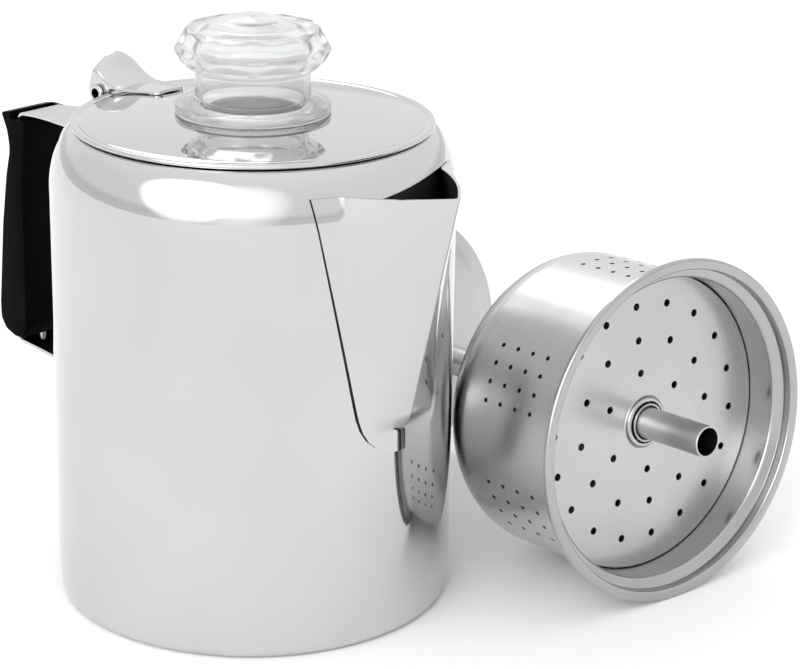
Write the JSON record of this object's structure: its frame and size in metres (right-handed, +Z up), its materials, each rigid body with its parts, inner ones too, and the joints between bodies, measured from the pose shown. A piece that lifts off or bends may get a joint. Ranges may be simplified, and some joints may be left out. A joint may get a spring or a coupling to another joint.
{
  "type": "coffee percolator",
  "caption": "Stovetop steel percolator: lidded pot with clear knob, spout and side handle, and its pump, coffee basket and spreader lying beside it.",
  "frame": {"origin": "centre of the pot's flat base, on the surface it stands on", "axes": "+Z up along the pot's axis, +X through the spout; the handle and lid hinge are on the -X side and the pump lies on the +Y side"},
  "size_m": [0.2776, 0.2554, 0.222],
  "materials": {
    "polished_steel": "mirror-polished stainless steel",
    "brushed_steel": "brushed round the wall",
    "satin_steel": "satin",
    "grey_steel": "dull grey",
    "black_phenolic": "satin black",
    "clear_plastic": "clear",
    "silicone": "matt"
  },
  "bodies": {
    "pot": {"pot_body": "polished_steel", "spout": "polished_steel", "handle_strap": "polished_steel", "handle_grip": "black_phenolic", "grip_screw": "polished_steel", "hinge_knuckle": "polished_steel", "hinge_pin": "polished_steel"},
    "lid": {"lid": "polished_steel", "lid_arm": "polished_steel"},
    "knob": {"knob": "clear_plastic", "knob_seal": "silicone"},
    "pump": {"pump_tube": "grey_steel", "pump_base": "satin_steel", "pump_ferrule": "satin_steel", "tube_stop": "satin_steel"},
    "basket": {"basket": "brushed_steel", "basket_sleeve": "satin_steel"},
    "spreader": {"spreader_plate": "satin_steel"}
  },
  "joints": [
    {"name": "lid_hinge", "type": "hinge", "parent": "pot", "child": "lid", "pos_m": [-0.0724, 0, 0.1816], "axis": [0, -1, 0], "range_deg": [0, 105]},
    {"name": "knob_turn", "type": "hinge", "parent": "lid", "child": "knob", "pos_m": [0, 0, 0.1831], "axis": [0, 0, 1], "range_deg": [0, 90]},
    {"name": "infuser_lift", "type": "slide", "parent": "pot", "child": "pump", "axis": [0, 0, 1], "range_m": [0, 0.15]},
    {"name": "basket_slide", "type": "slide", "parent": "pump", "child": "basket", "axis": [0.9855, -0.1579, 0.0618], "range_m": [0, 0.075]},
    {"name": "spreader_lift", "type": "slide", "parent": "basket", "child": "spreader", "axis": [0.9855, -0.1579, 0.0618], "range_m": [0, 0.03]}
  ]
}
